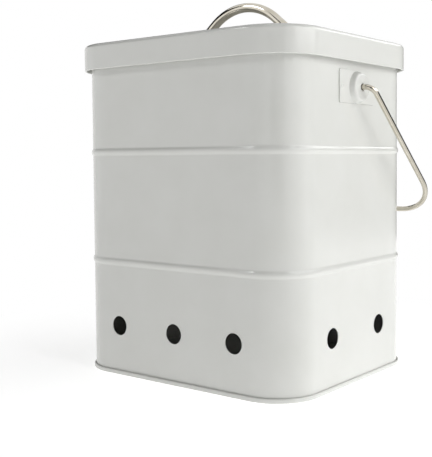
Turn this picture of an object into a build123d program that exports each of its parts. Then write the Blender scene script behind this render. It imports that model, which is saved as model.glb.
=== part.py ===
"""A pressed steel storage bin for onions, with a lift-off lid and a wire bail.

Millimetres, +Z up. The bin stands on z = 0, centred on the Z axis, with its front facing -Y.
Each piece is one node: the wrapped body, the seamed-on base, two ears, the bail, the lid and its handle.
"""
from build123d import *
from math import asin, cos, degrees, radians, tan
import os

# Body: one sheet wrapped into a rounded box, closed by a lock seam down the back
body_width = 182.0
body_depth = 154.0
body_height = 224.1
body_corner_radius = 29.0
body_sheet = 0.6
rim_roll_diameter = 3.2

# Ribs: two convex bands pressed outwards all the way round
rib_heights = (76.9, 151.3)
rib_width = 6.0
rib_rise = 0.9

# Air holes, near the foot of all four walls
air_hole_diameter = 13.0
air_hole_height = 33.4
front_hole_pitch = 49.5
front_hole_count = 3
side_hole_pitch = 58.4
side_hole_count = 2

# Lock seam: the two edges of the sheet hooked together, folded flat on the inside
lock_seam_width = 8.0
lock_seam_thickness = 1.2
lock_seam_groove = 0.3

# Base: a shallow pan whose edge is folded over a hook at the foot of the body
base_sheet = 0.6
base_seam_height = 3.0
base_seam_edge_radius = 0.5
base_recess = 2.8
body_hook_width = 0.65
seam_clearance = 0.08

# Lid: a pressed cap with a hemmed skirt that hangs round the rolled rim
lid_sheet = 0.6
lid_overhang = 4.7
lid_skirt_depth = 17.6
lid_edge_radius = 2.8
lid_hem_height = 4.0
lid_hem_edge_radius = 0.5
lid_seat_clearance = 0.1

# Lid handle: a round bar bent to an arch, held by a screw up into each foot
handle_bar_diameter = 6.5
handle_span = 74.0
handle_rise = 27.4
handle_crown_radius = 42.0
handle_leg_slope = 40.0
handle_foot_bend = 8.0

# Handle screws and washers, under the lid
screw_thread_diameter = 4.0
screw_thread_reach = 5.0
screw_head_diameter = 7.6
screw_head_height = 2.4
screw_head_edge_radius = 0.8
screw_slot_width = 1.0
screw_slot_depth = 1.2
screw_hole_clearance = 0.25
washer_diameter = 10.0
washer_thickness = 0.8

# Ears: a welded plate with a hollow round boss that the bail's end turns in
ear_plate_width = 43.0
ear_plate_height = 21.0
ear_corner_radius = 1.0
ear_sheet = 0.9
ear_boss_root_diameter = 20.0
ear_boss_crown_diameter = 17.4
ear_boss_rise = 4.8
ear_boss_edge_radius = 1.3
ear_hole_diameter = 4.8
ear_pivot_drop = 32.6

# Bail: one wire with upset ends, bent to a flat-bottomed loop
bail_wire_diameter = 3.6
bail_ear_standout = 12.0
bail_arm_spread = 7.7
bail_reach = 114.4
bail_ear_bend = 6.0
bail_grip_bend = 27.0
bail_head_diameter = 6.6
bail_head_thickness = 1.2
bail_wall_clearance = 0.3

# Sizes that follow from the ones above
half_width = body_width / 2
half_depth = body_depth / 2
pivot_height = body_height - ear_pivot_drop
lock_seam_place = front_hole_pitch / 2
rim_roll_radius = rim_roll_diameter / 2
rim_roll_centre_height = body_height - rim_roll_radius
base_fold_reach = body_hook_width + seam_clearance + base_sheet
body_foot = base_sheet + seam_clearance
body_hook_height = base_seam_height - 2 * (base_sheet + seam_clearance)
lid_underside = body_height + lid_seat_clearance
lid_top = lid_underside + lid_sheet
lid_foot = lid_top - lid_skirt_depth
bail_wire_radius = bail_wire_diameter / 2
bail_width_at_ears = body_width + 2 * bail_ear_standout
bail_width_at_grip = bail_width_at_ears + 2 * bail_arm_spread
grip_rest_depth = half_depth + bail_wall_clearance + bail_wire_radius
bail_rest_angle = asin(grip_rest_depth / bail_reach)

# Where the middle of the front wall's outer face meets the floor: x is outwards and y is up
wall_section = Plane(origin=(0, -half_depth, 0), x_dir=(0, -1, 0), z_dir=(-1, 0, 0))


def outline(outset, mode=Mode.ADD):
    """The body's plan, grown by outset, in the sketch that calls this."""
    return RectangleRounded(
        body_width + 2 * outset, body_depth + 2 * outset, body_corner_radius + outset, mode=mode
    )


def band(outer, inner, low, high):
    """An upright wall that follows the body's plan, between two outsets and two heights."""
    with BuildSketch(Plane.XY.offset(low)) as plan:
        outline(outer)
        outline(inner, Mode.SUBTRACT)
    extrude(plan.sketch, amount=high - low)


def plan_path():
    """The body's plan as a closed path that starts in the middle of the front wall."""
    with BuildLine(Plane.XY, mode=Mode.PRIVATE) as path:
        FilletPolyline(
            (0, -half_depth),
            (half_width, -half_depth),
            (half_width, half_depth),
            (0, half_depth),
            radius=body_corner_radius,
        )
        mirror(about=Plane.YZ)
    return path.wire()


def rib_outline(height, face, mode=Mode.ADD):
    """A smooth swelling on a wall face: out, over the crown and back, in three tangent arcs."""
    quarter = rib_width / 4
    middle = face + rib_rise / 2
    with BuildLine() as outline_line:
        rise = TangentArc((face, height - 2 * quarter), (middle, height - quarter), tangent=(0, 1))
        crown = TangentArc(rise @ 1, (middle, height + quarter), tangent=rise % 1)
        fall = TangentArc(crown @ 1, (face, height + 2 * quarter), tangent=crown % 1)
        Line(fall @ 1, rise @ 0)
    make_face(outline_line.edges(), mode=mode)


def row(count, pitch):
    """Places along a line, centred on zero."""
    return [(index - (count - 1) / 2) * pitch for index in range(count)]


os.makedirs("parts", exist_ok=True)

# Body shell
wall_path = plan_path()
with BuildPart() as body_shell:
    with BuildSketch(wall_section):
        with Locations((-body_sheet, body_foot)):
            Rectangle(body_sheet, rim_roll_centre_height - body_foot, align=(Align.MIN, Align.MIN))
        # The hook at the foot, the sheet's edge folded back on itself
        with Locations((0, body_foot)):
            Rectangle(body_hook_width, body_hook_height, align=(Align.MIN, Align.MIN))
        # The ribs stand out of the outer face and leave a groove of the same shape inside
        for rib_height in rib_heights:
            rib_outline(rib_height, 0)
            rib_outline(rib_height, -body_sheet, Mode.SUBTRACT)
        # The rolled rim, the sheet turned outwards and down through three quarters of a turn
        with Locations((rim_roll_radius - body_sheet, rim_roll_centre_height)):
            Circle(rim_roll_radius)
            Circle(rim_roll_radius - body_sheet, mode=Mode.SUBTRACT)
            Rectangle(
                rim_roll_radius, rim_roll_radius, align=(Align.MAX, Align.MAX), mode=Mode.SUBTRACT
            )
        with Locations((-body_sheet, rim_roll_centre_height)):
            Rectangle(body_sheet, rim_roll_radius, align=(Align.MIN, Align.MAX))
    sweep(path=wall_path)
    # The lock seam inside the back wall, midway between two air holes, and its fine line outside
    seam_foot = base_recess + 2 * base_sheet
    seam_length = rim_roll_centre_height - rim_roll_radius - seam_foot
    with Locations((lock_seam_place, half_depth - body_sheet, seam_foot)):
        Box(
            lock_seam_width,
            lock_seam_thickness,
            seam_length,
            align=(Align.CENTER, Align.MAX, Align.MIN),
        )
    with Locations((lock_seam_place + lock_seam_width / 2, half_depth, base_seam_height)):
        Box(
            lock_seam_groove,
            2 * lock_seam_groove,
            seam_length,
            align=(Align.CENTER, Align.CENTER, Align.MIN),
            mode=Mode.SUBTRACT,
        )
    # The air holes go through front and back, then through both sides
    with BuildSketch(Plane.XZ):
        with Locations([(x, air_hole_height) for x in row(front_hole_count, front_hole_pitch)]):
            Circle(air_hole_diameter / 2)
    extrude(amount=body_depth, both=True, mode=Mode.SUBTRACT)
    with BuildSketch(Plane.YZ):
        with Locations([(y, air_hole_height) for y in row(side_hole_count, side_hole_pitch)]):
            Circle(air_hole_diameter / 2)
    extrude(amount=body_width, both=True, mode=Mode.SUBTRACT)
body_shell.part.label = "body_shell"
export_step(body_shell.part, "parts/body_shell.step")

# Base pan: the panel, a riser inside the body wall, and the fold round the body's hook
riser_face = -(body_sheet + seam_clearance)
with BuildPart() as base_pan:
    band(base_fold_reach, riser_face - base_sheet, 0, base_sheet)
    band(base_fold_reach, base_fold_reach - base_sheet, 0, base_seam_height)
    band(base_fold_reach, seam_clearance, base_seam_height - base_sheet, base_seam_height)
    fold_edges = base_pan.edges().group_by(Axis.Z)[-1] + base_pan.edges().group_by(Axis.Z)[0]
    outer_edges = [
        edge
        for edge in fold_edges
        if abs(edge.center().X) > half_width or abs(edge.center().Y) > half_depth
        or (edge.geom_type == GeomType.CIRCLE and edge.radius > body_corner_radius + body_hook_width)
    ]
    fillet(outer_edges, base_seam_edge_radius)
    band(riser_face, riser_face - base_sheet, 0, base_recess + base_sheet)
    with BuildSketch(Plane.XY.offset(base_recess)):
        outline(riser_face)
    extrude(amount=base_sheet)
base_pan.part.label = "base_pan"
export_step(base_pan.part, "parts/base_pan.step")

# Lid shell: a cap with a rounded edge, hollowed to the sheet, with a hem folded up inside the skirt
with BuildPart() as lid_shell:
    with BuildSketch(Plane.XY.offset(lid_foot)):
        outline(lid_overhang)
    extrude(amount=lid_skirt_depth)
    fillet(lid_shell.edges().group_by(Axis.Z)[-1], lid_edge_radius)
    fillet(lid_shell.edges().group_by(Axis.Z)[0], lid_hem_edge_radius)
    with BuildPart(mode=Mode.PRIVATE) as lid_hollow:
        with BuildSketch(Plane.XY.offset(lid_foot)):
            outline(lid_overhang - lid_sheet)
        extrude(amount=lid_underside - lid_foot)
        fillet(lid_hollow.edges().group_by(Axis.Z)[-1], lid_edge_radius - lid_sheet)
    add(lid_hollow.part, mode=Mode.SUBTRACT)
    band(lid_overhang - lid_sheet, lid_overhang - 2 * lid_sheet, lid_foot, lid_foot + lid_hem_height)
    with Locations([(x, 0, lid_underside) for x in (-handle_span / 2, handle_span / 2)]):
        Cylinder(
            screw_thread_diameter / 2 + screw_hole_clearance,
            lid_sheet,
            align=(Align.CENTER, Align.CENTER, Align.MIN),
            mode=Mode.SUBTRACT,
        )
lid_shell.part.label = "lid_shell"
export_step(lid_shell.part, "parts/lid_shell.step")

# Lid handle: the crown's arc, two straight legs, and feet that stand upright on the lid
slope = radians(handle_leg_slope)
leg_meeting = handle_rise + handle_crown_radius * (1 / cos(slope) - 1)
foot_corner = leg_meeting - handle_span / 2 * tan(slope)
with BuildPart() as lid_handle:
    with BuildLine(Plane.XZ.offset(0)) as arch:
        FilletPolyline(
            (-handle_span / 2, lid_top),
            (-handle_span / 2, lid_top + foot_corner),
            (0, lid_top + leg_meeting),
            (handle_span / 2, lid_top + foot_corner),
            (handle_span / 2, lid_top),
            radius=[handle_foot_bend, handle_crown_radius, handle_foot_bend],
        )
    with BuildSketch(Plane.XY.offset(lid_top)):
        with Locations((-handle_span / 2, 0)):
            Circle(handle_bar_diameter / 2)
    sweep()
    with Locations([(x, 0, lid_top) for x in (-handle_span / 2, handle_span / 2)]):
        Cylinder(
            screw_thread_diameter / 2,
            screw_thread_reach + screw_hole_clearance,
            align=(Align.CENTER, Align.CENTER, Align.MIN),
            mode=Mode.SUBTRACT,
        )
lid_handle.part.label = "lid_handle"
export_step(lid_handle.part, "parts/lid_handle.step")

# Washers under the lid, one for each screw
with BuildPart() as handle_washers:
    with Locations([(x, 0, lid_underside) for x in (-handle_span / 2, handle_span / 2)]):
        Cylinder(
            washer_diameter / 2, washer_thickness, align=(Align.CENTER, Align.CENTER, Align.MAX)
        )
        Cylinder(
            screw_thread_diameter / 2 + screw_hole_clearance,
            washer_thickness,
            align=(Align.CENTER, Align.CENTER, Align.MAX),
            mode=Mode.SUBTRACT,
        )
handle_washers.part.label = "handle_washers"
export_step(handle_washers.part, "parts/handle_washers.step")

# Slotted pan-head screws, up through the washers and the lid into the handle's feet
head_seat = lid_underside - washer_thickness
with BuildPart() as handle_screws:
    with Locations([(x, 0, head_seat) for x in (-handle_span / 2, handle_span / 2)]):
        Cylinder(
            screw_head_diameter / 2, screw_head_height, align=(Align.CENTER, Align.CENTER, Align.MAX)
        )
    fillet(handle_screws.edges().group_by(Axis.Z)[0], screw_head_edge_radius)
    with Locations([(x, 0, head_seat) for x in (-handle_span / 2, handle_span / 2)]):
        Cylinder(
            screw_thread_diameter / 2,
            washer_thickness + lid_sheet + screw_thread_reach,
            align=(Align.CENTER, Align.CENTER, Align.MIN),
        )
    with Locations([(x, 0, head_seat - screw_head_height) for x in (-handle_span / 2, handle_span / 2)]):
        Box(
            screw_slot_width,
            screw_head_diameter,
            2 * screw_slot_depth,
            mode=Mode.SUBTRACT,
        )
handle_screws.part.label = "handle_screws"
export_step(handle_screws.part, "parts/handle_screws.step")

# Right ear: the plate lies on the wall, and its boss is pressed out of the same sheet
boss_axis = Plane(origin=(half_width, 0, pivot_height), x_dir=(0, 1, 0), z_dir=(1, 0, 0))
with BuildPart() as ear_right:
    with BuildSketch(boss_axis):
        RectangleRounded(ear_plate_width, ear_plate_height, ear_corner_radius)
    extrude(amount=ear_sheet)
    with BuildSketch(boss_axis):
        Circle(ear_boss_root_diameter / 2)
    with BuildSketch(boss_axis.offset(ear_boss_rise)):
        Circle(ear_boss_crown_diameter / 2)
    loft()
    fillet(ear_right.edges().filter_by(GeomType.CIRCLE).group_by(Axis.X)[-1], ear_boss_edge_radius)
    with BuildPart(mode=Mode.PRIVATE) as boss_hollow:
        with BuildSketch(boss_axis):
            Circle(ear_boss_root_diameter / 2 - ear_sheet)
        with BuildSketch(boss_axis.offset(ear_boss_rise - ear_sheet)):
            Circle(ear_boss_crown_diameter / 2 - ear_sheet)
        loft()
    add(boss_hollow.part, mode=Mode.SUBTRACT)
    with BuildSketch(boss_axis):
        Circle(ear_hole_diameter / 2)
    extrude(amount=ear_boss_rise, mode=Mode.SUBTRACT)
ear_right.part.label = "ear_right"
export_step(ear_right.part, "parts/ear_right.step")

# Left ear, the mirror image
with BuildPart() as ear_left:
    add(mirror(ear_right.part, about=Plane.YZ))
ear_left.part.label = "ear_left"
export_step(ear_left.part, "parts/ear_left.step")

# Bail: drawn in the plane that it hangs in, which leans back until the grip rests on the back wall
rest_lean = degrees(bail_rest_angle)
upright = Plane(origin=(0, 0, pivot_height), x_dir=(1, 0, 0), z_dir=(0, 0, 1))
bail_plane = upright.rotated((rest_lean - 90, 0, 0))
head_room = ear_boss_rise - ear_sheet
head_middle = half_width + head_room / 2
with BuildPart() as bail:
    with BuildLine(bail_plane) as wire_line:
        FilletPolyline(
            (-head_middle, 0),
            (-bail_width_at_ears / 2, 0),
            (-bail_width_at_grip / 2, bail_reach),
            (bail_width_at_grip / 2, bail_reach),
            (bail_width_at_ears / 2, 0),
            (head_middle, 0),
            radius=[bail_ear_bend, bail_grip_bend, bail_grip_bend, bail_ear_bend],
        )
    with BuildSketch(Plane(origin=wire_line.wire() @ 0, z_dir=(-1, 0, 0))):
        Circle(bail_wire_radius)
    sweep()
    # The upset heads, inside the bosses
    for side in (-1, 1):
        head_plane = Plane(origin=(side * head_middle, 0, pivot_height), z_dir=(1, 0, 0))
        with BuildSketch(head_plane.offset(-bail_head_thickness / 2)):
            Circle(bail_head_diameter / 2)
        extrude(amount=bail_head_thickness)
bail.part.label = "bail"
export_step(bail.part, "parts/bail.step")

# Figures for the record
print("bail rest angle from straight down, degrees:", round(rest_lean, 3))
print("bail swing to the front stop, degrees:", round(360 - 2 * rest_lean, 3))
print("lid top, skirt foot, handle top:", round(lid_top, 2), round(lid_foot, 2),
      round(lid_top + handle_rise + handle_bar_diameter / 2, 2))
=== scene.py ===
# %% [markdown]
# # A steel onion bin, dressed
# The bin is a box of thin sheet steel with a lift-off lid, coated off-white, with a polished wire bail and
# a polished bar handle. Its measured frame comes first. Every piece made below sits on that frame, in
# metres, in the place of the plain piece that it stands for.

# %% Load the measured frame
import math

import bmesh
import bpy
from mathutils import Matrix, Vector


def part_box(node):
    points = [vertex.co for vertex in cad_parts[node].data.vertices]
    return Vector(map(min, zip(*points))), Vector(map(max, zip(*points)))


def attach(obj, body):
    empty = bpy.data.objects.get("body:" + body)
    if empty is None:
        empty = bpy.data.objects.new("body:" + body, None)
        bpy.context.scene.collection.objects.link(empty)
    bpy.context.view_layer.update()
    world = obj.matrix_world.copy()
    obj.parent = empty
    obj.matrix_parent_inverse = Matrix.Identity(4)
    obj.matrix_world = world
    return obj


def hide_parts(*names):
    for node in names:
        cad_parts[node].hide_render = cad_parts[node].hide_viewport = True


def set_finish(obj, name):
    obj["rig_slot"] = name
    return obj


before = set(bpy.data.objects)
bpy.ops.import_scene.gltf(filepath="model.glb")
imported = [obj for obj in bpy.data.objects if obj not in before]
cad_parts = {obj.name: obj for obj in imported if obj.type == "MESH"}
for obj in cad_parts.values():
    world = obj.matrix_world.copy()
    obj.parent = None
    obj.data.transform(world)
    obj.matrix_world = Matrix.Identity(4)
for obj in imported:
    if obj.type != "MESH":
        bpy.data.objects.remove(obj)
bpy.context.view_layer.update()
for node in sorted(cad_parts):
    low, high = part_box(node)
    print(node, "from", [round(c * 1000, 1) for c in low], "to", [round(c * 1000, 1) for c in high])

# %% [markdown]
# ## Sizes
# A sheet metal box has few sizes: its plan, the thickness of the sheet, and the bends. What the frame
# already holds, such as heights, is read from it, so that a piece can't drift from the one it covers.
# A sheet is drawn along its middle, halfway between its two faces, and is given its thickness at the end.
# Two points closer than TOUCHING count as one, and CUT is how finely a face is scored.

# %% Named sizes, in metres
MM = 0.001
TOUCHING = 0.01 * MM
CUT = 0.001 * MM
half_width = 91 * MM
half_depth = 77 * MM
corner_radius = 29 * MM
sheet = 0.6 * MM
corner_steps = 24
wall_margin = 1.5 * MM

body_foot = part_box("body_shell")[0].z
body_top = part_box("body_shell")[1].z
lid_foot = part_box("lid_shell")[0].z
lid_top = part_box("lid_shell")[1].z
handle_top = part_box("lid_handle")[1].z
pivot_height = (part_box("ear_right")[0].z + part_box("ear_right")[1].z) / 2
print("lid top", round(lid_top / MM, 2), "mm, bail pivot", round(pivot_height / MM, 2), "mm")

# %% [markdown]
# ## Drawing a line and wrapping it
# A pressed wall is one outline carried round a plan. The outline is drawn like a pen stroke: a vertex is
# extruded along a straight run, and spun about a centre for a bend. Then the whole line of edges is
# extruded along the flat walls and spun a quarter turn at each corner. Nothing is typed in vertex by
# vertex, and the corners come out as true arcs that meet the walls without a kink.


# %% The pen
def verts_of(result, key="geom"):
    return [item for item in result[key] if isinstance(item, bmesh.types.BMVert)]


def edges_of(result, key="geom"):
    return [item for item in result[key] if isinstance(item, bmesh.types.BMEdge)]


class Outline:
    """A line of edges in an upright plane that faces the front: out is towards -Y, and up is +Z."""

    def __init__(self, bm, across, out, up):
        self.bm = bm
        self.across = across
        self.tip = bm.verts.new((across, -out, up))

    def run(self, out, up):
        """A straight run to a place."""
        made = bmesh.ops.extrude_vert_indiv(self.bm, verts=[self.tip])
        self.tip = made["verts"][0]
        self.tip.co = (self.across, -out, up)

    def turn(self, out, up, degrees, steps):
        """A bend about a centre, anticlockwise where out is drawn to the right."""
        made = bmesh.ops.spin(
            self.bm, geom=[self.tip], cent=(self.across, -out, up), axis=(-1, 0, 0),
            dvec=(0, 0, 0), angle=math.radians(degrees), steps=steps, use_merge=False,
        )
        self.tip = verts_of(made, "geom_last")[0]

    def rib(self, out, foot, width, rise):
        """A smooth swelling outwards, in three bends that meet without a kink."""
        half = rise / 2
        quarter = width / 4
        radius = (half**2 + quarter**2) / (2 * half)
        angle = math.degrees(2 * math.atan(half / quarter))
        self.run(out, foot)
        self.turn(out + radius, foot, -angle, 4)
        self.turn(out + rise - radius, foot + 2 * quarter, 2 * angle, 8)
        self.turn(out + radius, foot + 4 * quarter, -angle, 4)


# %% The wrap
def carry(bm, edges, step):
    """Extrudes a line of edges by a step, and gives back the line at the far end."""
    made = bmesh.ops.extrude_edge_only(bm, edges=edges)
    far = verts_of(made)
    bmesh.ops.translate(bm, verts=far, vec=step)
    return [edge for edge in edges_of(made) if all(vert in far for vert in edge.verts)]


def wrap(bm):
    """Carries the outline drawn at the left end of the front wall round the whole plan."""
    edges = list(bm.edges)
    corner_x = half_width - corner_radius
    corner_y = half_depth - corner_radius
    heading = Vector((1, 0, 0))
    centre = Vector((corner_x, -corner_y, 0))
    quarter_turn = Matrix.Rotation(math.radians(90), 3, "Z")
    for side in range(4):
        length = 2 * (corner_x if side % 2 == 0 else corner_y)
        for step in (wall_margin, length - 2 * wall_margin, wall_margin):
            edges = carry(bm, edges, heading * step)
        made = bmesh.ops.spin(
            bm, geom=edges + list({vert for edge in edges for vert in edge.verts}), cent=centre,
            axis=(0, 0, 1), dvec=(0, 0, 0), angle=math.radians(90), steps=corner_steps, use_merge=False,
        )
        edges = edges_of(made, "geom_last")
        heading = quarter_turn @ heading
        centre = quarter_turn @ centre
        centre = Vector((math.copysign(corner_x, centre.x), math.copysign(corner_y, centre.y), 0))
    bmesh.ops.remove_doubles(bm, verts=bm.verts, dist=TOUCHING)


# %% [markdown]
# ## Punching a round hole in a flat wall
# A hole that is cut with a boolean leaves long thin faces over the whole wall. Here the flat face is
# scored into a square round the hole, the square is taken out, and the gap between it and a ring is
# filled, which keeps the new faces close to the hole.


# %% The punch
def face_at(bm, point, normal):
    """The flat face that a point lies in."""
    for face in bm.faces:
        level = abs((face.verts[0].co - point).dot(normal)) < TOUCHING
        parallel = abs(face.normal.dot(normal)) > 0.999
        if level and parallel and bmesh.geometry.intersect_face_point(face, point):
            return face
    raise ValueError(f"no flat face at {point}")


def punch(bm, centre, normal, diameter, margin, sides=48):
    """Cuts a round hole, and gives back the edges of its ring."""
    bm.normal_update()
    centre = Vector(centre)
    normal = Vector(normal)
    up = Vector((0, 1, 0)) if abs(normal.z) > 0.5 else Vector((0, 0, 1))
    across = up.cross(normal)
    reach = diameter / 2 + margin
    for direction in (across, -across, up, -up):
        face = face_at(bm, centre, normal)
        bmesh.ops.bisect_plane(
            bm, geom=[face, *face.edges, *face.verts], plane_co=centre + direction * reach,
            plane_no=direction, dist=CUT,
        )
        bm.normal_update()
    square = face_at(bm, centre, normal)
    rim_edges = list(square.edges)
    bmesh.ops.delete(bm, geom=[square], context="FACES_ONLY")
    place = Matrix((across, up, normal)).transposed().to_4x4()
    place.translation = centre
    ring = bmesh.ops.create_circle(bm, cap_ends=False, segments=sides, radius=diameter / 2, matrix=place)
    ring_edges = list({edge for vert in ring["verts"] for edge in vert.link_edges})
    bmesh.ops.triangle_fill(bm, use_beauty=True, edges=rim_edges + ring_edges, normal=normal)
    return ring_edges


# %% [markdown]
# ## From a bmesh to a finished piece
# Every sheet piece ends the same way. Its normals are made to point outwards, Solidify gives it the
# thickness of the steel, half to each side, Bevel rounds the cut edges as a coat of powder does, and
# Weighted Normal keeps the large flat faces flat right up to those small rounds.


# %% Finishing pieces
def piece(bm, name, body, nodes, slot, outward=None):
    """Makes an object of a bmesh. outward is a point and the direction its face should look."""
    bmesh.ops.recalc_face_normals(bm, faces=bm.faces)
    bm.normal_update()
    if outward:
        point, direction = Vector(outward[0]), Vector(outward[1])
        nearest = min(bm.faces, key=lambda face: (face.calc_center_median() - point).length)
        if nearest.normal.dot(direction) < 0:
            bmesh.ops.reverse_faces(bm, faces=bm.faces)
    mesh = bpy.data.meshes.new(name)
    bm.to_mesh(mesh)
    bm.free()
    mesh.shade_smooth()
    made = bpy.data.objects.new(name, mesh)
    bpy.context.scene.collection.objects.link(made)
    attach(made, body)
    if nodes:
        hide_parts(*nodes)
    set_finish(made, slot)
    print(name, "has", len(mesh.vertices), "vertices and", len(mesh.polygons), "faces")
    return made


def thicken(made, thickness, edge_radius):
    """Gives a sheet its thickness, and rounds its cut edges."""
    solidify = made.modifiers.new("Sheet", "SOLIDIFY")
    solidify.thickness = thickness
    solidify.offset = 0
    solidify.use_even_offset = True
    soften(made, edge_radius)


def soften(made, edge_radius):
    """Rounds the sharp edges, and keeps the flat faces flat."""
    bevel = made.modifiers.new("Edges", "BEVEL")
    bevel.width = edge_radius
    bevel.segments = 2
    bevel.limit_method = "ANGLE"
    bevel.angle_limit = math.radians(40)
    bevel.use_clamp_overlap = True
    weighted = made.modifiers.new("Flats", "WEIGHTED_NORMAL")
    weighted.keep_sharp = True


# %% [markdown]
# ## The body
# One sheet is wrapped into a box and hooked to itself up the back, midway between two air holes. Two
# ribs are rolled into it to stiffen the walls, its foot is turned out to take the base, and its top edge
# is rolled outwards round itself, which makes a rim that doesn't cut. All of that is in the outline.

# %% The body's outline, wrapped
rib_heights = (76.9 * MM, 151.3 * MM)
rib_width = 6 * MM
rib_rise = 0.9 * MM
rim_roll_radius = 1.6 * MM
hook_reach = 0.65 * MM
middle = -sheet / 2

body = bmesh.new()
wall = Outline(body, -(half_width - corner_radius), half_depth + hook_reach, body_foot + sheet / 2)
wall.run(half_depth + middle, body_foot + sheet / 2)
for height in rib_heights:
    wall.rib(half_depth + middle, height - rib_width / 2, rib_width, rib_rise)
roll_centre = body_top - rim_roll_radius
wall.run(half_depth + middle, roll_centre)
wall.turn(half_depth + middle + rim_roll_radius - sheet / 2, roll_centre, -270, 20)
wrap(body)

# %% [markdown]
# Ten air holes go in near the foot: three in the front, three in the back and two in each side. The
# lock seam shows outside as a fine line that runs up the back, so a narrow strip of the wall is scored
# there and set in a little, and inside as a folded strip that lies flat on the wall.

# %% Air holes and the lock seam
hole_diameter = 13 * MM
hole_height = 33.4 * MM
front_hole_pitch = 49.5 * MM
side_hole_pitch = 58.4 * MM
hole_margin = 3 * MM

for facing in (-1, 1):
    for column in (-1, 0, 1):
        centre = (column * front_hole_pitch, facing * (half_depth + middle), hole_height)
        punch(body, centre, (0, facing, 0), hole_diameter, hole_margin)
    for column in (-0.5, 0.5):
        centre = (facing * (half_width + middle), column * side_hole_pitch, hole_height)
        punch(body, centre, (facing, 0, 0), hole_diameter, hole_margin)

lock_seam_place = front_hole_pitch / 2
lock_seam_width = 8 * MM
lock_seam_thickness = 1.2 * MM
seam_line = lock_seam_place + lock_seam_width / 2
line_width = 0.35 * MM
line_depth = 0.3 * MM
back_wall = half_depth + middle
for place in (seam_line - line_width, seam_line, seam_line + line_width):
    behind = [face for face in body.faces if min(vert.co.y for vert in face.verts) > back_wall - 0.1 * MM]
    scored = {item for face in behind for item in (face, *face.edges, *face.verts)}
    bmesh.ops.bisect_plane(
        body, geom=list(scored), plane_co=(place, 0, 0), plane_no=(1, 0, 0), dist=CUT
    )
line_foot = body_foot + 2 * MM
line_head = roll_centre - 1 * MM
line = [vert for vert in body.verts if abs(vert.co.x - seam_line) < TOUCHING and vert.co.y > 0
        and line_foot < vert.co.z < line_head]
bmesh.ops.translate(body, verts=line, vec=(0, -line_depth, 0))

# %% The body's piece
cut_edge_radius = 0.22 * MM
body_shell = piece(
    body, "body_shell_coated", "bin", ["body_shell"], "powder_coat",
    outward=((0, -half_depth, 110 * MM), (0, -1, 0)),
)
thicken(body_shell, sheet, cut_edge_radius)

# %% The folded seam inside
seam_bm = bmesh.new()
seam_foot = 4 * MM
seam_head = roll_centre - rim_roll_radius
seam_edge_radius = 0.4 * MM
seam_size = (lock_seam_width, lock_seam_thickness, seam_head - seam_foot)
bmesh.ops.create_cube(seam_bm, size=1)
bmesh.ops.scale(seam_bm, vec=seam_size, verts=seam_bm.verts)
seam_place = (lock_seam_place, half_depth - sheet - lock_seam_thickness / 2, (seam_head + seam_foot) / 2)
bmesh.ops.translate(seam_bm, vec=seam_place, verts=seam_bm.verts)
lock_seam = piece(seam_bm, "lock_seam_coated", "bin", [], "powder_coat")
soften(lock_seam, seam_edge_radius)

# %% [markdown]
# ## The base
# The base is a shallow pan. Its panel is set up inside the foot of the wall, and its edge goes down,
# out, and folds over the hook of the body: the seam that a tin can has. From outside only the fold
# shows, as a narrow band that stands out round the foot.

# %% The base's outline, wrapped
base_recess = 2.8 * MM
seam_height = 3 * MM
seam_clearance = 0.08 * MM
bend = 0.45 * MM
riser = half_depth - sheet - seam_clearance - sheet / 2
fold = half_depth + hook_reach + seam_clearance + sheet / 2
panel_height = base_recess + sheet / 2
inner = half_depth - 12 * MM
fold_edge_radius = 0.12 * MM

base = bmesh.new()
pan = Outline(base, -(half_width - corner_radius), inner, panel_height)
pan.run(riser - bend, panel_height)
pan.turn(riser - bend, panel_height - bend, -90, 4)
pan.run(riser, sheet / 2 + bend)
pan.turn(riser + bend, sheet / 2 + bend, 90, 4)
pan.run(fold - bend, sheet / 2)
pan.turn(fold - bend, sheet / 2 + bend, 90, 6)
pan.run(fold, seam_height - sheet / 2 - bend)
pan.turn(fold - bend, seam_height - sheet / 2 - bend, 90, 6)
pan.run(half_depth + seam_clearance + sheet / 2, seam_height - sheet / 2)
wrap(base)
rim = [edge for edge in base.edges if edge.is_boundary and edge.verts[0].co.z > base_recess
       and abs(edge.verts[0].co.y) < inner + MM and abs(edge.verts[0].co.x) < half_width - 11 * MM]
bmesh.ops.contextual_create(base, geom=rim)
base_pan = piece(
    base, "base_pan_coated", "bin", ["base_pan"], "powder_coat", outward=((0, 0, panel_height), (0, 0, -1))
)
thicken(base_pan, sheet, fold_edge_radius)

# %% [markdown]
# ## The lid
# A pressed cap with a rounded edge. Its skirt hangs round the rolled rim, and ends in a hem: the last
# few millimetres are folded up inside, so the lower edge is smooth to the hand and catches a thin line
# of light.

# %% The lid's outline, wrapped
lid_overhang = 4.7 * MM
lid_edge_radius = 2.8 * MM
hem_height = 4 * MM
hem_bend = 0.34 * MM
skirt = half_depth + lid_overhang - sheet / 2
top_inner = half_depth - 10 * MM
top_height = lid_top - sheet / 2
edge_bend = lid_edge_radius - sheet / 2
flat_margin = 1.5 * MM

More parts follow.
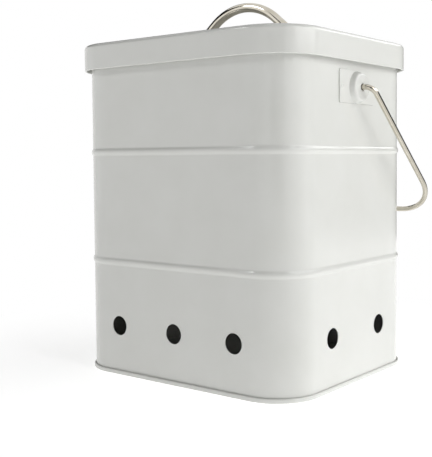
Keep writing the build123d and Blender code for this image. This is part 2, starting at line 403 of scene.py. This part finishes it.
lid = bmesh.new()
cap = Outline(lid, -(half_width - corner_radius), top_inner, top_height)
cap.run(skirt - edge_bend - flat_margin, top_height)
cap.run(skirt - edge_bend, top_height)
cap.turn(skirt - edge_bend, top_height - edge_bend, -90, 12)
cap.run(skirt, top_height - edge_bend - flat_margin)
cap.run(skirt, lid_foot + sheet / 2 + hem_bend)
cap.turn(skirt - hem_bend, lid_foot + sheet / 2 + hem_bend, -180, 8)
cap.run(skirt - 2 * hem_bend, lid_foot + hem_height)
wrap(lid)
opening = [edge for edge in lid.edges if edge.is_boundary and edge.verts[0].co.z > top_height - MM]
bmesh.ops.contextual_create(lid, geom=opening)
handle_span = 74 * MM
screw_hole = 4.5 * MM
screw_margin = 3 * MM
hem_edge_radius = 0.15 * MM
for side in (-1, 1):
    punch(lid, (side * handle_span / 2, 0, top_height), (0, 0, 1), screw_hole, screw_margin, sides=24)
lid_shell = piece(
    lid, "lid_shell_coated", "lid", ["lid_shell"], "powder_coat", outward=((0, 0, lid_top), (0, 0, 1))
)
thicken(lid_shell, sheet, hem_edge_radius)

# %% [markdown]
# ## Bars and wires
# A bent bar is a ring carried along: extruded on the straights, spun on the bends. Its section stays
# round through every bend, because the spin's axis goes through the bend's own centre.


# %% The rod
class Rod:
    """A round bar that starts from an open ring and is drawn out run by run, bend by bend."""

    def __init__(self, bm, start, heading, radius, sides):
        self.bm = bm
        self.place = Vector(start)
        self.heading = Vector(heading).normalized()
        turn = Vector((0, 0, 1)).rotation_difference(self.heading).to_matrix().to_4x4()
        turn.translation = self.place
        ring = bmesh.ops.create_circle(bm, cap_ends=False, segments=sides, radius=radius, matrix=turn)
        self.ring = list({edge for vert in ring["verts"] for edge in vert.link_edges})

    def straight(self, length):
        step = self.heading * length
        self.ring = carry(self.bm, self.ring, step)
        self.place = self.place + step

    def bend(self, degrees, radius, axis, steps):
        """Turns about an axis, on the side that the heading turns to."""
        axis = Vector(axis).normalized()
        centre = self.place + axis.cross(self.heading) * radius
        verts = list({vert for edge in self.ring for vert in edge.verts})
        made = bmesh.ops.spin(
            self.bm, geom=self.ring + verts, cent=centre, axis=axis, dvec=(0, 0, 0),
            angle=math.radians(degrees), steps=steps, use_merge=False,
        )
        self.ring = edges_of(made, "geom_last")
        turn = Matrix.Rotation(math.radians(degrees), 3, axis)
        self.place = centre + turn @ (self.place - centre)
        self.heading = turn @ self.heading

    def swell(self, scale, length):
        """Carries the ring on by a length while it is scaled."""
        self.straight(length)
        verts = list({vert for edge in self.ring for vert in edge.verts})
        for vert in verts:
            vert.co = self.place + (vert.co - self.place) * scale

    def close(self):
        bmesh.ops.contextual_create(self.bm, geom=self.ring)


# %% [markdown]
# ## The lid's handle
# A polished bar is bent to an arch: upright feet, a bend, a straight leg, and one large arc over the
# top. Only half is drawn, from the crown down to one foot, and the mirror makes the other half.

# %% The handle
bar_radius = 3.25 * MM
crown_radius = 42 * MM
leg_slope = 40
foot_bend = 8 * MM
crown_height = handle_top - bar_radius

slope = math.radians(leg_slope)
foot_turn = 90 - leg_slope
leg_meeting = crown_height + crown_radius * (1 / math.cos(slope) - 1)
foot_corner = leg_meeting - handle_span / 2 * math.tan(slope)
leg_length = handle_span / 2 / math.cos(slope)
foot_tangent = foot_bend * math.tan(math.radians(foot_turn / 2))
leg_straight = leg_length - crown_radius * math.tan(slope) - foot_tangent
foot_straight = foot_corner - foot_tangent - lid_top

handle = bmesh.new()
bar = Rod(handle, (0, 0, crown_height), (1, 0, 0), bar_radius, sides=40)
bar.bend(leg_slope, crown_radius, (0, 1, 0), 20)
bar.straight(leg_straight)
bar.bend(foot_turn, foot_bend, (0, 1, 0), 14)
bar.straight(foot_straight)
bar.close()
bmesh.ops.mirror(
    handle, geom=[*handle.verts, *handle.edges, *handle.faces], axis="X", merge_dist=TOUCHING
)
print("handle's foot ends at", [round(c / MM, 2) for c in bar.place], "mm")
lid_handle = piece(handle, "lid_handle_bar", "lid", ["lid_handle"], "polished_steel")
soften(lid_handle, 0.25 * MM)

# %% [markdown]
# ## The bail
# One wire. It is drawn lying in its own plane, from the middle of the grip to the head inside the ear,
# mirrored, and then leaned back until the grip meets the back wall, which is how it hangs at rest.

# %% The bail
wire_radius = 1.8 * MM
width_at_ears = 206 * MM
width_at_grip = 221.4 * MM
bail_reach = 114.4 * MM
ear_bend = 6 * MM
grip_bend = 27 * MM
head_radius = 3.3 * MM
head_thickness = 1.2 * MM
wall_clearance = 0.3 * MM
ear_rise = 4.8 * MM
ear_sheet = 0.9 * MM

lean = math.asin((half_depth + wall_clearance + wire_radius) / bail_reach)
arm_run = (width_at_grip - width_at_ears) / 2
arm_angle = math.degrees(math.atan2(bail_reach, arm_run))
arm_length = math.hypot(bail_reach, arm_run)
grip_turn = 180 - arm_angle
ear_turn = arm_angle
head_middle = half_width + (ear_rise - ear_sheet) / 2
grip_tangent = grip_bend * math.tan(math.radians(grip_turn / 2))
ear_tangent = ear_bend * math.tan(math.radians(ear_turn / 2))

wire = bmesh.new()
bail_rod = Rod(wire, (0, 0, -bail_reach), (1, 0, 0), wire_radius, sides=28)
bail_rod.straight(width_at_grip / 2 - grip_tangent)
bail_rod.bend(grip_turn, grip_bend, (0, -1, 0), 24)
bail_rod.straight(arm_length - grip_tangent - ear_tangent)
bail_rod.bend(ear_turn, ear_bend, (0, -1, 0), 14)
bail_rod.straight(width_at_ears / 2 - ear_tangent - head_middle - head_thickness / 2)
bail_rod.swell(head_radius / wire_radius, TOUCHING)
bail_rod.straight(head_thickness)
bail_rod.close()
bmesh.ops.mirror(wire, geom=[*wire.verts, *wire.edges, *wire.faces], axis="X", merge_dist=TOUCHING)
bmesh.ops.rotate(wire, verts=wire.verts, cent=(0, 0, 0), matrix=Matrix.Rotation(lean, 3, "X"))
bmesh.ops.translate(wire, verts=wire.verts, vec=(0, 0, pivot_height))
print("bail leans back", round(math.degrees(lean), 2), "degrees")
print("bail's head is at", round(bail_rod.place.x / MM, 2), "mm")
bail = piece(wire, "bail_wire", "bail", ["bail"], "polished_steel")
soften(bail, 0.2 * MM)

# %% [markdown]
# ## The ears
# Each ear is a small plate welded flat on the side wall, with a round hollow boss pressed out of it for
# the bail's end. The plate is a rectangle with a round hole punched in it, and the boss is an outline
# spun once round: over its soft edge, down its flank, and out through a small bend into the plate.

# %% The ears
ear_width = 43 * MM
ear_height = 21 * MM
boss_root = 10 * MM
boss_crown = 8.7 * MM
boss_edge = 1.5 * MM
boss_foot = 0.5 * MM
ear_hole = 2.4 * MM
boss_sides = 48
ear_margin = 0.1 * MM
ear_corner_radius = 1 * MM
ear_edge_radius = 0.2 * MM
ear_middle = 0.1 * ear_sheet


def ear(side, name, node):
    """One ear: side is 1 on the right wall and -1 on the left."""
    bm = bmesh.new()
    level = ear_sheet / 2
    crown = ear_rise - ear_sheet / 2
    flank = Vector((boss_root - boss_crown, -ear_rise)).normalized()
    flank_angle = math.degrees(math.acos(flank.x))
    edge_tangent = boss_edge * math.tan(math.radians(flank_angle / 2))
    foot_tangent = boss_foot * math.tan(math.radians(flank_angle / 2))
    crown_corner = boss_crown - ear_middle
    root_corner = boss_root - ear_middle
    pen = Outline(bm, 0, ear_hole, crown)
    pen.run(crown_corner - edge_tangent, crown)
    pen.turn(crown_corner - edge_tangent, crown - boss_edge, -flank_angle, 8)
    pen.run(root_corner - flank.x * foot_tangent, level - flank.y * foot_tangent)
    pen.turn(root_corner + foot_tangent, level + boss_foot, flank_angle, 6)
    bmesh.ops.spin(
        bm, geom=[*bm.verts, *bm.edges], cent=(0, 0, 0), axis=(0, 0, 1), dvec=(0, 0, 0),
        angle=math.radians(360), steps=boss_sides, use_merge=True,
    )
    plate = bmesh.ops.create_grid(
        bm, x_segments=1, y_segments=1, size=0.5, matrix=Matrix.Translation((0, 0, level))
    )
    bmesh.ops.scale(bm, vec=(ear_width, ear_height, 1), verts=plate["verts"])
    bmesh.ops.bevel(
        bm, geom=plate["verts"], affect="VERTICES", offset=ear_corner_radius, offset_type="OFFSET",
        segments=5, profile=0.5, material=-1,
    )
    punch(bm, (0, 0, level), (0, 0, 1), 2 * (root_corner + foot_tangent), ear_margin, boss_sides)
    bmesh.ops.remove_doubles(bm, verts=bm.verts, dist=0.03 * MM)
    stand_up = Matrix.Rotation(math.radians(90), 4, "Z") @ Matrix.Rotation(math.radians(90), 4, "X")
    bmesh.ops.transform(bm, matrix=stand_up, verts=bm.verts)
    bmesh.ops.scale(bm, vec=(side, 1, 1), verts=bm.verts)
    bmesh.ops.translate(bm, vec=(side * half_width, 0, pivot_height), verts=bm.verts)
    made = piece(
        bm, name, "bin", [node], "powder_coat",
        outward=((side * half_width, 18 * MM, pivot_height), (side, 0, 0)),
    )
    thicken(made, ear_sheet, ear_edge_radius)
    return made


ears = [ear(1, "ear_right_coated", "ear_right"), ear(-1, "ear_left_coated", "ear_left")]

# %% [markdown]
# The plate is held by a spot weld near the middle of each upright edge. The coat runs over it, so only a
# small soft lump shows.

# %% The beads of weld
bead_radius = 1.3 * MM
bead_height = 0.4 * MM
bead_inset = 3 * MM


def beads(side, name):
    """Two flattened beads near the front and back edges of an ear."""
    bm = bmesh.new()
    for facing in (-1, 1):
        out = side * (half_width + ear_sheet)
        place = Matrix.Translation((out, facing * (ear_width / 2 - bead_inset), pivot_height))
        lump = place @ Matrix.Diagonal((bead_height / bead_radius, 1, 1, 1))
        bmesh.ops.create_uvsphere(bm, u_segments=16, v_segments=10, radius=bead_radius, matrix=lump)
    return piece(bm, name, "bin", [], "powder_coat")


welds = [beads(1, "ear_right_welds"), beads(-1, "ear_left_welds")]

# %% [markdown]
# ## Writing a finish as sums
# A finish is a pattern worked out at every point of a surface. In the node editor that is a web of Math
# nodes. One small class wraps a node's output socket and lets Python's own signs add those nodes, so
# that a pattern reads as the sum that it is.


# %% Sockets with arithmetic
class Signal:
    """A value that changes over a surface."""

    def __init__(self, finish, socket):
        self.finish = finish
        self.socket = socket

    def maths(self, operation, first, second):
        return self.finish.node("ShaderNodeMath", {"operation": operation}, {0: first, 1: second})

    def __add__(self, other):
        return self.maths("ADD", self, other)

    def __radd__(self, other):
        return self.maths("ADD", other, self)

    def __mul__(self, other):
        return self.maths("MULTIPLY", self, other)

    def __rmul__(self, other):
        return self.maths("MULTIPLY", other, self)

    def between(self, low, high):
        """0 at low and 1 at high, held at both ends."""
        return self.finish.node(
            "ShaderNodeMapRange", {"interpolation_type": "SMOOTHSTEP"}, {0: self, 1: low, 2: high}
        )


class Finish:
    """A material, and the one way in which nodes are added to it."""

    def __init__(self, name, **constants):
        self.material = bpy.data.materials.new(name)
        self.material.use_nodes = True
        self.tree = self.material.node_tree
        self.shader = self.tree.nodes["Principled BSDF"]
        for socket, value in constants.items():
            self.shader.inputs[socket.replace("_", " ")].default_value = value
        self.place = self.node("ShaderNodeTexCoord", {}, {}, "Object")

    def node(self, kind, settings, values, output=0):
        made = self.tree.nodes.new(kind)
        for key, value in settings.items():
            if key == "stops":
                ramp = made.color_ramp
                while len(ramp.elements) < len(value):
                    ramp.elements.new(1)
                for element, (position, colour) in zip(ramp.elements, value):
                    element.position = position
                    element.color = colour
            else:
                setattr(made, key, value)
        for key, value in values.items():
            if isinstance(value, Signal):
                self.tree.links.new(value.socket, made.inputs[key])
            else:
                made.inputs[key].default_value = value
        return Signal(self, made.outputs[output])

    def noise(self, size, detail=2.0, roughness=0.5, stretch=(1, 1, 1)):
        """Soft noise whose blobs are about size metres across."""
        spot = self.node("ShaderNodeMapping", {}, {"Vector": self.place, "Scale": stretch})
        values = {"Vector": spot, "Scale": 1 / size, "Detail": detail, "Roughness": roughness}
        return self.node("ShaderNodeTexNoise", {}, values)

    def ramp(self, value, stops):
        return self.node("ShaderNodeValToRGB", {"stops": stops}, {0: value})

    def bump(self, height, distance, below=None):
        """Relief of a height from 0 to 1, distance metres deep, over what lies below it."""
        values = {"Height": height, "Distance": distance, "Strength": 1.0}
        if below:
            values["Normal"] = below
        return self.node("ShaderNodeBump", {}, values)

    def give(self, **sockets):
        """Joins patterns to the shader's own sockets."""
        for socket, signal in sockets.items():
            self.tree.links.new(signal.socket, self.shader.inputs[socket.replace("_", " ")])


# %% [markdown]
# ## Powder coat
# The powder melts into a skin of about a tenth of a millimetre. Close up it has a fine orange peel,
# it is a trace thinner and glossier in some places than in others, and the thin sheet under it is never
# quite flat, so reflections waver slowly over a hand's width. The colour hardly changes at all.

# %% Powder coat
coat = Finish("powder_coat", IOR=1.5, Metallic=0.0)
peel = coat.noise(1.6 * MM, detail=2, roughness=0.45)
grain = coat.noise(0.35 * MM, detail=1)
sway = coat.noise(48 * MM, detail=1.5, roughness=0.4)
cloud = coat.noise(26 * MM, detail=3)
coat_colour = coat.ramp(
    cloud * 0.7 + grain * 0.3, [(0.3, (0.735, 0.74, 0.705, 1)), (0.7, (0.77, 0.775, 0.745, 1))]
)
relief = coat.bump(sway, 0.25 * MM)
relief = coat.bump(peel, 0.004 * MM, relief)
coat.give(
    Base_Color=coat_colour,
    Roughness=0.11 + 0.05 * cloud + 0.03 * grain,
    Normal=relief,
)

# %% [markdown]
# ## Polished steel
# The bail and the handle are drawn bar, polished and nickel plated. A metal has no colour of its own
# beside its reflections, so the work is in the gloss: nearly a mirror, with faint drawing lines and the
# dull patches that polishing leaves.

# %% Polished steel
polish = Finish("polished_steel", Metallic=1.0)
drawn = polish.noise(0.5 * MM, detail=3, roughness=0.6, stretch=(0.12, 1, 1))
dull = polish.noise(9 * MM, detail=3)
steel_colour = polish.ramp(dull, [(0.3, (0.54, 0.505, 0.425, 1)), (0.7, (0.62, 0.585, 0.51, 1))])
polish.give(
    Base_Color=steel_colour,
    Roughness=0.04 + 0.06 * dull + 0.03 * drawn,
    Normal=polish.bump(drawn, 0.003 * MM),
)

# %% [markdown]
# ## Zinc plate
# The screws and washers under the lid are plain hardware with a bright, slightly blue zinc plate. It is
# duller than the polish, and mottled at the scale of a millimetre.

# %% Zinc plate
zinc = Finish("zinc_plate", Metallic=1.0)
mottle = zinc.noise(1.2 * MM, detail=4, roughness=0.6)
zinc_colour = zinc.ramp(mottle, [(0.3, (0.55, 0.57, 0.6, 1)), (0.7, (0.72, 0.73, 0.74, 1))])
zinc.give(
    Base_Color=zinc_colour,
    Roughness=0.28 + 0.16 * mottle,
    Normal=zinc.bump(mottle, 0.01 * MM),
)

# %% Give the finishes
finishes = {"powder_coat": coat, "polished_steel": polish, "zinc_steel": zinc}
for made in [body_shell, lock_seam, base_pan, lid_shell, lid_handle, bail, *ears, *welds]:
    made.data.materials.append(finishes[made["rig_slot"]].material)
for name in ("handle_screws", "handle_washers"):
    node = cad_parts[name]
    for index in range(len(node.data.materials)):
        node.material_slots[index].material = zinc.material

# %% [markdown]
# ## The camera
# The camera stands where the photograph was taken from: its place, its three angles and its focal
# length were solved from the bin's own edges. The picture is a crop of a wider frame, so the lens is
# shifted rather than turned.

# %% The camera
picture_width = 432
picture_height = 457
camera_place = Vector((371.88, -476.88, 146.38)) * MM
yaw = math.radians(-36.654)
pitch = math.radians(-2.817)
roll = math.radians(-0.369)
focal_pixels = 849.28
optical_centre = (265.0, 200.0)

forward = Vector((math.sin(yaw) * math.cos(pitch), math.cos(yaw) * math.cos(pitch), math.sin(pitch)))
level_right = Vector((math.cos(yaw), -math.sin(yaw), 0))
level_up = level_right.cross(forward)
right = math.cos(roll) * level_right + math.sin(roll) * level_up
up = math.cos(roll) * level_up - math.sin(roll) * level_right

camera_data = bpy.data.cameras.new("camera")
camera = bpy.data.objects.new("camera", camera_data)
bpy.context.scene.collection.objects.link(camera)
camera.matrix_world = Matrix.Translation(camera_place) @ Matrix((right, up, -forward)).transposed().to_4x4()
camera_data.sensor_width = 36
camera_data.lens = focal_pixels * 36 / picture_height
camera_data.shift_x = (picture_width / 2 - optical_centre[0]) / picture_height
camera_data.shift_y = (optical_centre[1] - picture_height / 2) / picture_height
bpy.context.scene.camera = camera
print("lens", round(camera_data.lens, 2), "mm")
print("shift", round(camera_data.shift_x, 4), round(camera_data.shift_y, 4))

# %% [markdown]
# ## Floor, light and background
# The floor is a pale sheet that keeps the bin's soft shadow and fades into the white behind it. A broad
# soft box stands to the right, so the side wall is the brighter one, and a weaker one low in front to the
# left. Two small ones high up draw the bright lines along the ribs on both sides of the corner. The world
# gives an even base, and is plain white to the camera and in reflections.


# %% The floor
def seen_directly(finish):
    """1 for what the camera sees, straight or in a reflection or through glass, and 0 for bounced light."""
    camera_ray = finish.node("ShaderNodeLightPath", {}, {}, "Is Camera Ray")
    mirrored = finish.node("ShaderNodeLightPath", {}, {}, "Is Glossy Ray")
    through = finish.node("ShaderNodeLightPath", {}, {}, "Is Transmission Ray")
    either = camera_ray.maths("MAXIMUM", camera_ray, mirrored)
    return either.maths("MAXIMUM", either, through)


floor_bm = bmesh.new()
bmesh.ops.create_grid(floor_bm, x_segments=1, y_segments=1, size=3)
floor_mesh = bpy.data.meshes.new("floor")
floor_bm.to_mesh(floor_mesh)
floor_bm.free()
floor = bpy.data.objects.new("floor", floor_mesh)
bpy.context.scene.collection.objects.link(floor)

floor_lift = 0.62
fade_start = 0.12
fade_end = 0.3
floor_finish = Finish("floor", Roughness=0.9, Base_Color=(0.9, 0.9, 0.9, 1))
seen = seen_directly(floor_finish)
distance = floor_finish.node(
    "ShaderNodeVectorMath", {"operation": "LENGTH"}, {0: floor_finish.place}, "Value"
)
white = floor_finish.node("ShaderNodeEmission", {}, {"Color": (1, 1, 1, 1), "Strength": 1.0})
lift = floor_finish.node("ShaderNodeEmission", {}, {"Color": (1, 1, 1, 1), "Strength": floor_lift})
lifted = floor_finish.node("ShaderNodeAddShader", {}, {})
floor_finish.tree.links.new(floor_finish.shader.outputs[0], lifted.socket.node.inputs[0])
floor_finish.tree.links.new(lift.socket, lifted.socket.node.inputs[1])
faded = floor_finish.node(
    "ShaderNodeMixShader", {}, {0: seen * distance.between(fade_start, fade_end), 1: lifted, 2: white}
)
floor_finish.tree.links.new(faded.socket, floor_finish.tree.nodes["Material Output"].inputs["Surface"])
floor_mesh.materials.append(floor_finish.material)

# %% The lamps
middle_of_bin = Vector((0, 0, 0.12))


def stand(azimuth, elevation, distance):
    """A place round the bin: azimuth 0 is in front of it and 90 to its right."""
    turn = math.radians(azimuth)
    tilt = math.radians(elevation)
    away = Vector((math.sin(turn) * math.cos(tilt), -math.cos(turn) * math.cos(tilt), math.sin(tilt)))
    return middle_of_bin + away * distance


def soft_lamp(name, azimuth, elevation, distance, width, height, watts):
    """A soft box that looks at the bin."""
    data = bpy.data.lights.new(name, "AREA")
    data.shape = "RECTANGLE"
    data.size = width
    data.size_y = height
    data.energy = watts
    lamp = bpy.data.objects.new(name, data)
    bpy.context.scene.collection.objects.link(lamp)
    lamp.location = stand(azimuth, elevation, distance)
    lamp.rotation_mode = "QUATERNION"
    lamp.rotation_quaternion = (middle_of_bin - lamp.location).to_track_quat("-Z", "Y")


soft_lamp("key", 119, 27, 1.15, 2.2, 0.6, 12)
soft_lamp("fill", -50, 9, 1.3, 1.4, 0.6, 0.6)
soft_lamp("glint_left", -36, 38, 1.5, 0.32, 0.28, 3.5)
soft_lamp("glint_right", 80, 40, 1.5, 0.26, 0.26, 1.2)

# %% [markdown]
# Polished metal shows nothing but its surroundings, so a white studio alone would leave it blank. Four
# dark screens stand far round the bin, seen by reflections only: one behind the camera, two high to the
# left and right, where a ceiling would begin, and a low one behind the bin.


# %% The screens
def screen(name, azimuths, heights, distance, colour):
    """An upright curved band round the bin, between two azimuths and two heights."""
    bm = bmesh.new()
    start = stand(azimuths[0], 0, distance)
    foot = bm.verts.new((start.x, start.y, heights[0]))
    head = bm.verts.new((start.x, start.y, heights[1]))
    edge = bm.edges.new((foot, head))
    bmesh.ops.spin(
        bm, geom=[foot, head, edge], cent=(0, 0, 0), axis=(0, 0, 1), dvec=(0, 0, 0),
        angle=math.radians(azimuths[1] - azimuths[0]), steps=24, use_merge=False,
    )
    mesh = bpy.data.meshes.new(name)
    bm.to_mesh(mesh)
    bm.free()
    made = bpy.data.objects.new(name, mesh)
    bpy.context.scene.collection.objects.link(made)
    made.visible_camera = False
    made.visible_diffuse = False
    made.visible_shadow = False
    cloth = Finish(name, Roughness=1.0, Base_Color=(*colour, 1))
    made.data.materials.append(cloth.material)


screen("screen_behind_camera", (22, 54), (0.0, 0.7), 1.9, (0.04, 0.04, 0.04))
screen("screen_high_left", (-135, -44), (0.8, 1.8), 1.9, (0.02, 0.02, 0.02))
screen("screen_high_right", (-22, 60), (0.8, 1.8), 1.9, (0.02, 0.02, 0.02))
screen("screen_behind_bin", (118, 202), (0.0, 0.5), 1.0, (0.02, 0.02, 0.02))

# %% The world
ambient = 0.06
world = bpy.data.worlds.new("world")
bpy.context.scene.world = world
world.use_nodes = True
sky = world.node_tree
background = sky.nodes["Background"]
rays = sky.nodes.new("ShaderNodeLightPath")
direct = sky.nodes.new("ShaderNodeMath")
direct.operation = "MAXIMUM"
direct_or_through = sky.nodes.new("ShaderNodeMath")
direct_or_through.operation = "MAXIMUM"
strength = sky.nodes.new("ShaderNodeMapRange")
sky.links.new(rays.outputs["Is Camera Ray"], direct.inputs[0])
sky.links.new(rays.outputs["Is Glossy Ray"], direct.inputs[1])
sky.links.new(direct.outputs[0], direct_or_through.inputs[0])
sky.links.new(rays.outputs["Is Transmission Ray"], direct_or_through.inputs[1])
sky.links.new(direct_or_through.outputs[0], strength.inputs["Value"])
strength.inputs["To Min"].default_value = ambient
strength.inputs["To Max"].default_value = 1.0
sky.links.new(strength.outputs[0], background.inputs["Strength"])
background.inputs["Color"].default_value = (1, 1, 1, 1)

# %% Picture settings
bpy.context.scene.view_settings.view_transform = "Standard"
